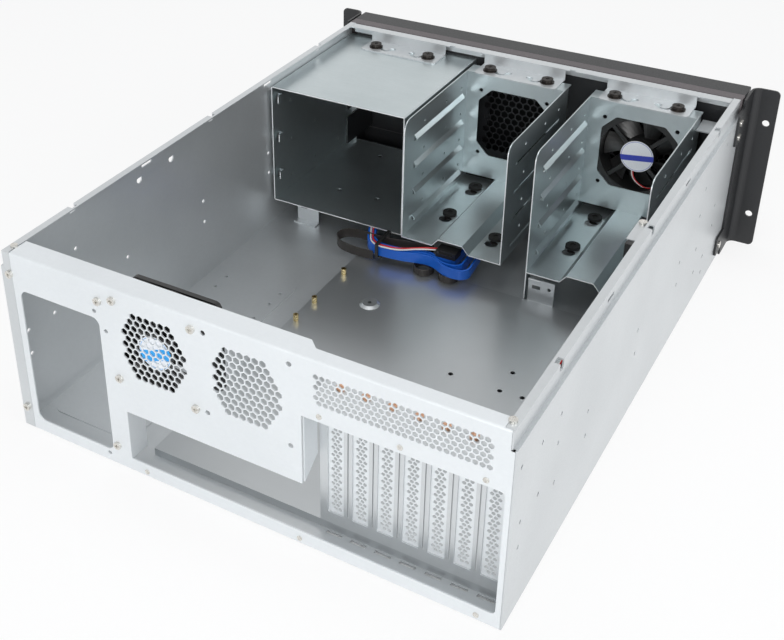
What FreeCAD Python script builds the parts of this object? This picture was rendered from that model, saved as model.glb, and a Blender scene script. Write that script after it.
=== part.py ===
import FreeCAD, Part

import math
import os
import re

from FreeCAD import Placement, Rotation, Vector

# Four-unit rackmount server case with its lid off.  Millimetres.
# X is across the case, Y runs from the black front (-Y) to the rear panel (+Y),
# Z is up.  The origin is the middle of the footprint, on the underside of the floor.

doc = FreeCAD.newDocument("rack_case")
sheet = doc.addObject("Spreadsheet::Sheet", "sizes")

SIZES = [
    # whole case
    ("body_width", 430), ("body_height", 172), ("case_depth", 592), ("bezel_depth", 37),
    ("steel", 1.2), ("fit_gap", 0.3), ("sheet_gap", 0.2),
    # tub
    ("joggle", 3), ("band_height", 14.5), ("top_flange", 6.5), ("rear_strip", 10.5), ("hidden_lip", 10),
    ("narrow_lip", 3.8),
    ("notch_first", 81.5), ("notch_pitch", 199.3), ("notch_width", 7),
    ("rail_first", 17.5), ("rail_second", 147.5), ("rail_pitch", 117.3), ("rail_low", 62), ("rail_rise", 23),
    ("wall_hole", 1.8), ("big_hole", 3.6),
    # rear panel
    ("supply_left", 198), ("supply_width", 79), ("supply_low", 11.8), ("supply_high", 139.8),
    ("corner_round", 7), ("board_left", 100.6), ("board_width", 158.75), ("opening_low", 11.8),
    ("board_high", 59), ("slots_high", 121), ("slots_right", 209.5), ("return_depth", 20),
    ("deep_flange", 20), ("shallow_flange", 12.7), ("flange_step", 56),
    ("fan_x", 68.2), ("fan_pitch", 81.7), ("rear_fan_height", 126), ("vent_radius", 38.4),
    ("vent_pitch", 6.3), ("vent_hole", 5.3), ("strip_left", 66.5), ("strip_right", 201.5),
    ("strip_low", 132.5), ("strip_high", 163.5), ("strip_pitch", 5.0), ("strip_hole", 4.0),
    # slot frame and covers
    ("frame_setback", 22), ("slot_pitch", 20.32), ("slot_count", 7), ("first_slot", 73.2),
    ("window_width", 13.4), ("window_low", 18.5), ("window_high", 124), ("cover_width", 18.4),
    ("cover_sheet", 0.9), ("shelf_height", 130), ("shelf_depth", 14),
    ("cover_hole", 3.0), ("cover_hole_pitch", 3.9),
    # tray
    ("tray_left", 95.5), ("tray_right", 206), ("tray_front", 370), ("tray_rise", 7),
    ("standoff_radius", 2.6), ("standoff_height", 6.5), ("boss_radius", 8), ("boss_rise", 2),
    # drive cages
    ("cage_sheet", 1), ("cage_top", 160), ("cage_rear", 377), ("cage_front", 530), ("fan_wall", 519),
    ("drive_cage_width", 106.3), ("centre_cage_left", 54.7), ("side_cage_left", -77.2), ("cage_floor", 33),
    ("channel_start", 33.6), ("channel_top", 40), ("channel_end", 65.8), ("channel_slope", 7),
    ("channel_rise", 8), ("cage_corner", 11), ("rib_low", 43), ("rib_pitch", 29.7), ("rib_length", 111),
    ("rib_start", 21), ("rib_height", 6), ("rib_depth", 3), ("fan_flange", 18), ("fan_centre", 106),
    ("fan_opening", 76), ("opening_corner", 14), ("grommet_radius", 7.2), ("grommet_height", 3),
    ("keyhole", 6.6),
    # bay cage
    ("bay_left", 210.4), ("bay_width", 151.4), ("bay_rear", 386), ("bay_low", 28.8),
    # fans
    ("fan_size", 80), ("fan_depth", 25), ("rear_fan_depth", 32), ("fan_holes", 71.5), ("fan_hole", 2.15),
    ("duct_radius", 38),
    ("rotor_radius", 37), ("hub_radius", 17), ("shaft_radius", 1.5), ("shaft_gap", 0.05),
    ("blade_count", 7), ("blade_sheet", 1.4),
    # front top beam and hangers
    ("beam_depth", 12), ("hanger_drop", 10.8), ("hanger_width", 88), ("screw_spacing", 62),
    ("thumb_radius", 5.8), ("thumb_hole", 2.1), ("thumb_height", 4.2),
    # front
    ("bezel_frame", 12.5), ("bezel_width", 427), ("bezel_wall", 2.5), ("fascia_plate", 3),
    ("bay_count", 3), ("cover_gap", 0.4), ("mesh_pitch", 8), ("mesh_hole", 6.8), ("button_radius", 6.5),
    ("button_travel", 1.5), ("button_proud", 2), ("reset_radius", 2.5), ("lamp_radius", 1.5),
    # ears
    ("rack_width", 482.6), ("ear_sheet", 2), ("ear_bend", 9), ("ear_reach", 36), ("ear_tab", 59),
    ("rack_hole_x", 465.1), ("rack_hole_z", 101.6), ("rack_hole", 3.5), ("ear_bore", 2.1),
    # cables
    ("cable_low", 15.9), ("cable_width", 10.5), ("cable_sheet", 1.7), ("wire_radius", 0.75),
    ("lead_radius", 1.3),
    ("coil_radius", 9.4), ("coil_wire", 0.8),
    # fasteners
    ("screw_head", 3.4), ("screw_proud", 2), ("rivet_radius", 2.2), ("rivet_proud", 0.6),
]
SIZE_NAMES = set()
for row, (alias, number) in enumerate(SIZES, start=1):
    sheet.set("A%d" % row, alias)
    sheet.set("B%d" % row, str(number))
    sheet.setAlias("B%d" % row, alias)
    SIZE_NAMES.add(alias)
doc.recompute()

# Places that follow from the sizes.
PLACES = {
    "half": "body_width / 2",
    "rear": "case_depth / 2",
    "face": "(0 - case_depth / 2)",
    "body_front": "(bezel_depth - case_depth / 2)",
    "inside": "(half - steel)",
    "band": "(half - joggle)",
    "flange_edge": "(band - top_flange)",
    "panel_left": "(half - rear_strip - sheet_gap)",
    "panel_right": "(inside - sheet_gap)",
    "panel_inner": "(rear - steel)",
    "slot_plane": "(rear - frame_setback)",
    "tray_top": "(steel + tray_rise)",
    "fascia_back": "(face + bezel_depth - bezel_frame)",
    "bezel_half": "bezel_width / 2",
    "plate_back": "(face + fascia_plate)",
    "hanger_top": "(body_height - hanger_drop)",
    "supply_right": "(supply_left - supply_width)",
    "board_right": "(board_left - board_width)",
    "bay_right": "(bay_left - bay_width)",
    "bay_height": "((cage_top - bay_low) / bay_count)",
}
WORD = re.compile(r"[a-z_]+[a-z_0-9]*")


def ex(text):
    """An expression on the sheet: places are written out and sizes get the sheet's name."""
    def swap(match):
        word = match.group(0)
        if word in PLACES:
            return "(" + ex(PLACES[word]) + ")"
        return "sizes." + word if word in SIZE_NAMES else word
    return WORD.sub(swap, str(text))


def val(text):
    number = sheet.evalExpression(ex(text))
    return float(getattr(number, "Value", number))


def bind(obj, **sizes):
    for name, text in sizes.items():
        obj.setExpression(name, ex(text))


def move(obj, x, y, z):
    for axis, text in zip("xyz", (x, y, z)):
        obj.setExpression("Placement.Base." + axis, ex(text))


def box(name, x, y, z):
    """A block between two planes on each axis."""
    block = doc.addObject("Part::Box", name)
    bind(block, Length="(%s) - (%s)" % (x[1], x[0]), Width="(%s) - (%s)" % (y[1], y[0]),
         Height="(%s) - (%s)" % (z[1], z[0]))
    move(block, x[0], y[0], z[0])
    return block


TURNS = {
    "x": Rotation(Vector(0, 1, 0), 90),
    "y": Rotation(Vector(1, 0, 0), -90),
    "z": Rotation(),
}


def rod(name, axis, radius, length, x, y, z):
    """A cylinder from (x, y, z) along +axis."""
    cylinder = doc.addObject("Part::Cylinder", name)
    bind(cylinder, Radius=radius, Height=length)
    cylinder.Placement = Placement(Vector(), TURNS[axis])
    move(cylinder, x, y, z)
    return cylinder


def group(name, pieces):
    compound = doc.addObject("Part::Compound", name)
    compound.Links = pieces
    return compound


def fuse(name, pieces):
    if len(pieces) == 1:
        return pieces[0]
    joined = doc.addObject("Part::MultiFuse", name)
    joined.Shapes = pieces
    joined.Refine = True
    return joined


def inset(name, base, plates):
    """Joins perforated plates into the windows cut for them."""
    joined = doc.addObject("Part::MultiFuse", name)
    joined.Shapes = [base] + plates
    joined.Refine = False
    return joined


def cut(name, base, tools):
    result = doc.addObject("Part::Cut", name)
    result.Base = base
    result.Tool = tools[0] if len(tools) == 1 else group(name + "_tools", tools)
    return result


def rounded(name, solid, axis, radius, keep=None):
    """Rounds the solid's straight edges along an axis; keep(point) picks which ones."""
    doc.recompute()
    direction = {"x": Vector(1, 0, 0), "y": Vector(0, 1, 0), "z": Vector(0, 0, 1)}[axis]
    size = val(radius)
    edges = []
    for index, edge in enumerate(solid.Shape.Edges, start=1):
        ends = [vertex.Point for vertex in edge.Vertexes]
        if len(ends) != 2 or not isinstance(edge.Curve, Part.Line):
            continue
        run = (ends[1] - ends[0]).normalize()
        if abs(run.dot(direction)) > 0.999 and (keep is None or keep(edge.CenterOfMass)):
            edges.append((index, size, size))
    fillet = doc.addObject("Part::Fillet", name)
    fillet.Base = solid
    fillet.Edges = edges
    return fillet


def made(name, shape):
    feature = doc.addObject("Part::Feature", name)
    feature.Shape = shape
    return feature


PARTS = []


def part(obj, label):
    obj.Label = label
    PARTS.append(obj)
    return obj


def prism(points, axis, start, length):
    """A solid between a flat outline and its copy; points are in the other two axes, in order."""
    if axis == "x":
        corners = [Vector(start, a, b) for a, b in points]
        run = Vector(length, 0, 0)
    elif axis == "y":
        corners = [Vector(a, start, b) for a, b in points]
        run = Vector(0, length, 0)
    else:
        corners = [Vector(a, b, start) for a, b in points]
        run = Vector(0, 0, length)
    return Part.Face(Part.makePolygon(corners + corners[:1])).extrude(run)


def hexagon(cx, cz, flats, y):
    """A closed hexagon with upright sides, wound against the plate's own outline."""
    radius = flats / math.sqrt(3)
    turns = [math.radians(30 - 60 * k) for k in range(7)]
    return Part.makePolygon([Vector(cx + radius * math.cos(a), y, cz + radius * math.sin(a)) for a in turns])


def perforated(name, low, high, pitch, hole, y, depth, inside=None):
    """A plate over a rectangle of X and Z, with staggered rows of hexagonal holes."""
    margin = 0.6
    rise = pitch * math.sqrt(3) / 2
    rows = int((high[1] - low[1] - 2 * margin - hole * 2 / math.sqrt(3)) // rise) + 1
    spare = (high[1] - low[1] - (rows - 1) * rise) / 2
    across = int((high[0] - low[0] - 2 * margin - hole - pitch / 2) // pitch)
    first = (low[0] + high[0] - across * pitch) / 2 - pitch / 4
    outline = [(low[0], low[1]), (high[0], low[1]), (high[0], high[1]), (low[0], high[1]), (low[0], low[1])]
    wires = [Part.makePolygon([Vector(x, y, z) for x, z in outline])]
    for row in range(rows):
        z = low[1] + spare + row * rise
        for column in range(across + 1):
            x = first + column * pitch + (row % 2) * pitch / 2
            if inside is None or inside(x, z):
                wires.append(hexagon(x, z, hole, y))
    return made(name, Part.Face(wires).extrude(Vector(0, depth, 0)))


def clearing(name, low, high, y, depth):
    """The block that clears the way for a perforated plate."""
    block = Part.makeBox(high[0] - low[0], depth + 2, high[1] - low[1], Vector(low[0], y - 1, low[1]))
    return made(name + "_window", block)


def pattern_holes(name, axis, radius, places, start, length):
    """Round holes along an axis at a list of places, each a pair on the other two axes."""
    holes = []
    for index, (a, b) in enumerate(places):
        spot = {"x": (start, a, b), "y": (a, start, b), "z": (a, b, start)}[axis]
        holes.append(rod("%s_%d" % (name, index), axis, radius, length, *spot))
    return holes


# ---------------------------------------------------------------- tub

RAIL_HOLES = ["rail_first", "rail_second"]
RAIL_HOLES += ["rail_second + %d * rail_pitch" % k for k in (1, 2, 3)]
# Extra wall holes: distance from the rear face and height.
REAR_HOLES = [(83, 128.5), (48, 129.5), (82, 103.8), (82.5, 67.5), (49, 83.5), (10.7, 137)]
FRONT_HOLES = [(448.6, 37.9), (482.6, 19), (444.6, 65.5), (479, 39), (508, 145), (437.6, 104.3), (444.3, 129)]
DEEP_HOLES = [(220, 152), (173, 152)]
EAR_SCREWS = [("face + ear_reach + 9", "137"), ("face + ear_reach + 9", "152"), ("face + ear_reach + 14", "19.5")]
STRIP_SCREWS = [("206.7", "152"), ("210", "19.8")]
FOOT_HOLES = [(23.3, 505), (23.3, 441), (83.5, 419), (83.5, 483)]


def side_wall(side):
    """One side wall: plain below, stepped in for the lid above, with an inward top flange."""
    sign = "-" if side == "right" else ""
    pair = (lambda a, b: ("0 - (%s)" % b, "0 - (%s)" % a)) if sign else (lambda a, b: (a, b))
    length = ("body_front", "rear")
    ledge = "body_height - band_height"
    flange_end = "rear" if side == "left" else "panel_inner - sheet_gap"
    name = "wall_" + side
    pieces = [
        box(name + "_plate", pair("inside", "half"), length, ("0", ledge)),
        box(name + "_ledge", pair("band - steel", "half"), length, (ledge + " - steel", ledge)),
        box(name + "_band", pair("band - steel", "band"), length, (ledge + " - steel", "body_height")),
        box(name + "_flange", pair("flange_edge", "band"), ("body_front", flange_end),
            ("body_height - steel", "body_height")),
    ]
    if side == "left":
        pieces.append(box(name + "_strip", pair("half - rear_strip", "inside"),
                          ("panel_inner", "rear"), ("0", ledge)))
        pieces.append(box(name + "_strip_top", pair("half - rear_strip", "band"),
                          ("panel_inner", "rear"), (ledge + " - steel", "body_height")))
    else:
        pieces.append(box(name + "_lip", pair("inside - narrow_lip", "inside"),
                          ("panel_inner - sheet_gap - steel", "panel_inner - sheet_gap"), ("0", ledge)))
    pieces.append(box(name + "_front", pair("inside - hidden_lip", "inside"),
                      ("body_front", "body_front + steel"), ("0", ledge)))
    tools = []
    for k in range(3):
        middle = "rear - notch_first - %d * notch_pitch" % k
        span = (middle + " - notch_width / 2", middle + " + notch_width / 2")
        tools.append(box("%s_notch_%d" % (name, k), pair("band - 4.5", "half"), span,
                         ("body_height - 6.5", "body_height + 1")))
        slot = middle + " - notch_pitch / 2"
        if k < 2:
            tools.append(box("%s_slot_%d" % (name, k), pair("band - 2 * steel", "half"),
                             (slot + " - 7", slot + " + 7"), ("body_height - 8", "body_height - 5.4")))
    start = "inside - 1" if side == "left" else "0 - half - 1"
    places = []
    for distance in RAIL_HOLES:
        places.append(("rear - (%s)" % distance, "rail_low"))
        places.append(("rear - (%s)" % distance, "rail_low + rail_rise"))
    for distance, height in REAR_HOLES + FRONT_HOLES:
        places.append(("rear - %s" % distance, str(height)))
    tools += pattern_holes(name + "_hole", "x", "wall_hole", places, start, "steel + 2")
    tools += pattern_holes(name + "_ear", "x", "ear_bore", EAR_SCREWS, start, "steel + 2")
    if side == "left":
        tools += pattern_holes(name + "_rear", "y", "wall_hole", STRIP_SCREWS, "panel_inner - 1", "steel + 2")
        deep = [("rear - %s" % distance, str(height)) for distance, height in DEEP_HOLES]
        tools += pattern_holes(name + "_deep", "x", "big_hole", deep, start, "steel + 2")
    return pieces, tools


def tub():
    """Floor and both walls, folded from one sheet."""
    pieces = [box("floor", ("0 - half", "half"), ("body_front", "panel_inner - sheet_gap"), ("0", "steel"))]
    pieces.append(box("floor_lip", ("0 - inside", "board_left + 12"),
                      ("panel_inner - sheet_gap - steel", "panel_inner - sheet_gap"), ("0", "opening_low - 2")))
    pieces.append(box("floor_front_lip", ("0 - inside", "inside"), ("body_front", "body_front + steel"),
                      ("0", "12")))
    pad = box("supply_pad", ("122", "207"), ("rear - 292", "rear - 24"), ("steel / 2", "steel + 1"))
    pieces.append(rounded("supply_pad_round", pad, "z", "10"))
    tools = []
    for side in ("left", "right"):
        wall_pieces, wall_tools = side_wall(side)
        pieces += wall_pieces
        tools += wall_tools
    holes = [(193.5, 268.4), (193.5, 248.8), (130.8, 268.8), (130.8, 248.8), (130.8, 222)]
    places = [(str(x), "rear - %s" % distance) for x, distance in holes]
    tools += pattern_holes("floor_hole", "z", "1.6", places, "0 - 1", "steel + 3")
    for k in range(int(val("slot_count"))):
        middle = "0 - first_slot - %d * slot_pitch" % k
        tools.append(box("tongue_%d" % k, (middle + " - 6.5", middle + " + 6.5"),
                         ("slot_plane + 1.5", "slot_plane + 4.2"), ("0 - 1", "steel + 1")))
    edge = val("half")
    bent = rounded("tub_bends", fuse("tub_body", pieces), "y", "steel * 0.8",
                   lambda point: abs(abs(point.x) - edge) < 0.01 and point.z < 0.1)
    part(cut("tub_cut", bent, tools), "chassis_tub")


# ---------------------------------------------------------------- rear panel

def rear_panel():
    """Sheet with the two fan vents, the perforated strip and the openings, with folds inward."""
    depth = ("panel_inner", "rear")
    ledge = "body_height - band_height"
    pieces = [
        box("panel_low", ("0 - panel_right", "panel_left"), depth, ("sheet_gap", ledge)),
        box("panel_top", ("0 - band + steel + sheet_gap", "panel_left"), depth, (ledge, "body_height")),
        box("panel_flange_deep", ("0 - flange_step", "panel_left"), ("rear - deep_flange", "rear"),
            ("body_height - steel", "body_height")),
        box("panel_flange", ("0 - flange_edge + fit_gap", "0 - flange_step"), ("rear - shallow_flange", "rear"),
            ("body_height - steel", "body_height")),
    ]
    step = [(-val("flange_step"), val("rear - deep_flange")), (-val("flange_step"), val("rear - shallow_flange")),
            (-val("flange_step + 7.5"), val("rear - shallow_flange"))]
    pieces.append(made("flange_slope", prism(step, "z", val("body_height - steel"), val("steel"))))
    for name, x in (("board", "board_left"), ("slots", "board_right - steel")):
        low = "opening_low - 1.5" if name == "board" else "board_high"
        high = "board_high + 4" if name == "board" else "slots_high + 4"
        fold = box(name + "_fold", (x, x + " + steel"), ("rear - return_depth", "rear"), (low, high))
        if name == "slots":
            corner = [(val("rear - return_depth"), val("board_high")), (val("panel_inner"), val("board_high")),
                      (val("rear - return_depth"), val("board_high + 14"))]
            start = val("board_right - 2 * steel")
            fold = cut("slots_fold_cut", fold,
                       [made("slots_fold_corner", prism(corner, "x", start, val("3 * steel")))])
        pieces.append(fold)
    supply = box("supply_hole", ("supply_right", "supply_left"), ("panel_inner - 1", "rear + 1"),
                 ("supply_low", "supply_high"))
    board = box("board_hole", ("board_right", "board_left"), ("panel_inner - 1", "rear + 1"),
                ("opening_low", "board_high"))
    slots = box("slots_hole", ("0 - slots_right", "board_right"), ("panel_inner - 1", "rear + 1"),
                ("opening_low", "slots_high"))
    tools = [rounded("supply_round", supply, "y", "corner_round"), board,
             rounded("slots_round", slots, "y", "4", lambda p: p.x < -val("slots_right") + 1)]
    plates = []
    back, skin = val("panel_inner"), val("steel")
    radius, reach = val("vent_radius"), val("vent_hole") / 2
    flat = radius * math.sqrt(3) / 2
    cz = val("rear_fan_height")
    for k in range(2):
        cx = val("fan_x - %d * fan_pitch" % k)

        def in_vent(x, z, cx=cx):
            turns = [math.radians(a) for a in (90, 30, -30)]
            return all(abs((x - cx) * math.cos(a) + (z - cz) * math.sin(a)) < flat - reach for a in turns)

        corners = (cx - 32, cz - flat), (cx + 32, cz + flat)
        tools.append(clearing("vent_%d" % k, *corners, back, skin))
        plates.append(perforated("vent_%d" % k, *corners, val("vent_pitch"), val("vent_hole"), back, skin,
                                 in_vent))
        half = "fan_holes / 2"
        places = [("fan_x - %d * fan_pitch %s %s" % (k, sx, half), "rear_fan_height %s %s" % (sz, half))
                  for sx in "+-" for sz in "+-"]
        tools += pattern_holes("vent_%d_hole" % k, "y", "fan_hole", places, "panel_inner - 1", "steel + 2")
    corners = (-val("strip_right"), val("strip_low")), (-val("strip_left"), val("strip_high"))
    tools.append(clearing("strip", *corners, back, skin))
    plates.append(perforated("strip", *corners, val("strip_pitch"), val("strip_hole"), back, skin))
    mounts = [("122.6", "146"), ("113", "130.7"), ("114", "19.6"), ("118", "156.5"), ("123.5", "8")]
    tools += pattern_holes("supply_screw", "y", "wall_hole", mounts, "panel_inner - 1", "steel + 2")
    high = val("body_height")
    face = val("rear")
    bent = rounded("panel_bend", fuse("panel_body", pieces), "x", "steel * 1.3",
                   lambda p: p.z > high - 0.01 and p.y > face - 0.01)
    part(inset("panel_whole", cut("panel_cut", bent, tools), plates), "rear_panel")


def slot_places():
    return ["(0 - first_slot - %d * slot_pitch)" % k for k in range(int(val("slot_count")))]


def slot_frame():
    """Plate with the slot windows, set back from the rear panel, hung from it by a shelf."""
    plane = ("slot_plane - steel", "slot_plane")
    left = "0 - first_slot + 13.2"
    right = "0 - slots_right - 1.5"
    edge = "0 - inside + narrow_lip + fit_gap"
    pieces = [
        box("frame_plate", (right, left), plane, ("tray_top", "shelf_height")),
        box("frame_shelf", (edge, left), ("slot_plane - shelf_depth", "panel_inner - sheet_gap"),
            ("shelf_height - steel", "shelf_height")),
        box("frame_hem", (edge, left), ("panel_inner - sheet_gap - steel", "panel_inner - sheet_gap"),
            ("slots_high + 1.5", "shelf_height")),
        box("frame_side", (left + " - steel", left), ("slot_plane - 12", "slot_plane"),
            ("tray_top", "shelf_height")),
        box("frame_foot", (right, left), ("slot_plane - 9", "slot_plane"), ("tray_top", "tray_top + steel")),
    ]
    tools = []
    for k, x in enumerate(slot_places()):
        tools.append(rounded("window_round_%d" % k,
                             box("window_%d" % k, (x + " - window_width / 2", x + " + window_width / 2"),
                                 ("slot_plane - 2 * steel", "slot_plane + 1"), ("window_low", "window_high")),
                             "y", "1.2"))
        tools.append(box("seam_%d" % k, (x + " - slot_pitch / 2 - 0.5", x + " - slot_pitch / 2 + 0.5"),
                         ("slot_plane - 2 * steel", "slot_plane + 1"), ("window_low + 2", "window_high - 3")))
        tools.append(rod("cover_screw_hole_%d" % k, "z", "1.9", "4 * steel", x,
                         "slot_plane - shelf_depth / 2", "shelf_height - 3 * steel"))
    part(cut("slot_frame_cut", fuse("slot_frame_body", pieces), tools), "slot_frame")


def slot_cover(k, x):
    """Perforated blanking strip behind one window."""
    plane = ("slot_plane - steel - sheet_gap - cover_sheet", "slot_plane - steel - sheet_gap")
    wide = (x + " - cover_width / 2", x + " + cover_width / 2")
    name = "cover_%d" % k
    strip = box(name + "_strip", wide, plane, ("tray_top + 2 * steel + 0.3", "shelf_height - steel - 0.3"))
    middle, back = val(x), val(plane[0])
    corners = ((middle - val("window_width") / 2, val("window_low + 1")),
               (middle + val("window_width") / 2, val("window_high - 3")))
    skin = val("cover_sheet")
    plate = perforated(name + "_mesh", *corners, val("cover_hole_pitch"), val("cover_hole"), back, skin)
    base = cut(name + "_cut", strip, [clearing(name, *corners, back, skin)])
    part(inset(name + "_whole", base, [plate]), "slot_cover_%d" % (k + 1))


def cover_screws():
    heads = []
    for k, x in enumerate(slot_places()):
        y = "slot_plane - shelf_depth / 2"
        shank = rod("cover_screw_shank_%d" % k, "z", "1.5", "6", x, y, "shelf_height - 5")
        head = rod("cover_screw_head_%d" % k, "z", "screw_head", "screw_proud", x, y, "shelf_height")
        heads.append(fuse("cover_screw_%d" % k, [shank, head]))
    part(group("cover_screw_group", heads), "slot_cover_screws")


# ---------------------------------------------------------------- tray

TRAY_HOLES = [(-69.5, 229.8), (-115.6, 258.2), (-115.6, 229.4), (-135.7, 230.2)]
STANDOFFS = [(90, 323), (90, 266), (90, 232), (90, 60), (-66, 60), (-190, 60)]


def tray():
    """Raised motherboard tray with turned-down edges and one large round boss."""
    across = ("0 - tray_right", "tray_left")
    along = ("rear - tray_front", "slot_plane")
    pieces = [
        box("tray_plate", across, along, ("tray_top - steel", "tray_top")),
        box("tray_edge_left", ("tray_left - steel", "tray_left"), along, ("steel", "tray_top")),
        box("tray_edge_right", ("0 - tray_right", "0 - tray_right + steel"), along, ("steel", "tray_top")),
        box("tray_edge_front", across, ("rear - tray_front", "rear - tray_front + steel"), ("steel", "tray_top")),
        box("tray_edge_rear", across, ("slot_plane - steel", "slot_plane"), ("steel", "tray_top")),
    ]
    boss = doc.addObject("Part::Cone", "tray_boss")
    bind(boss, Radius1="boss_radius + 2", Radius2="boss_radius - 1", Height="boss_rise")
    move(boss, "42.8", "rear - 289.4", "tray_top")
    pieces.append(boss)
    places = [(str(x), "rear - %s" % distance) for x, distance in TRAY_HOLES]
    tools = pattern_holes("tray_hole", "z", "2.2", places, "tray_top - 3", "6")
    tools += pattern_holes("boss_hole", "z", "1.8", [("42.8", "rear - 289.4")], "tray_top - 3", "8")
    places = [(str(x), "rear - %s" % distance) for x, distance in STANDOFFS]
    tools += pattern_holes("standoff_hole", "z", "1.7", places, "tray_top - 3", "6")
    solid = cut("tray_cut", fuse("tray_body", pieces), tools)
    part(solid, "motherboard_tray")
    posts = []
    for k, (x, y) in enumerate(places):
        post = fuse("standoff_%d" % k, [
            rod("standoff_post_%d" % k, "z", "standoff_radius", "standoff_height", x, y, "tray_top"),
            rod("standoff_stud_%d" % k, "z", "1.6", "4", x, y, "tray_top - 4"),
        ])
        posts.append(cut("standoff_cut_%d" % k, post,
                         [rod("standoff_bore_%d" % k, "z", "1.4", "standoff_height + 1", x, y, "tray_top + 1")]))
    part(group("standoff_group", posts), "board_standoffs")


# ---------------------------------------------------------------- drive cages

def cage_profile(offset):
    """Floor of a drive cage seen from the rear: two flats and a raised channel."""
    return [(0, offset), (val("channel_start"), offset),
            (val("channel_top"), val("channel_rise") + offset), (val("channel_end"), val("channel_rise") + offset),
            (val("channel_end + channel_slope"), offset), (val("drive_cage_width"), offset)]


def thumb_holes(name, middle):
    """Holes in a cage's top for the thumbscrews of its hanger."""
    places = [("%s %s screw_spacing / 2" % (middle, sign), "rear - fan_wall - fan_flange / 2") for sign in "+-"]
    return pattern_holes(name + "_thumb", "z", "thumb_hole", places, "cage_top - 3", "5")


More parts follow.
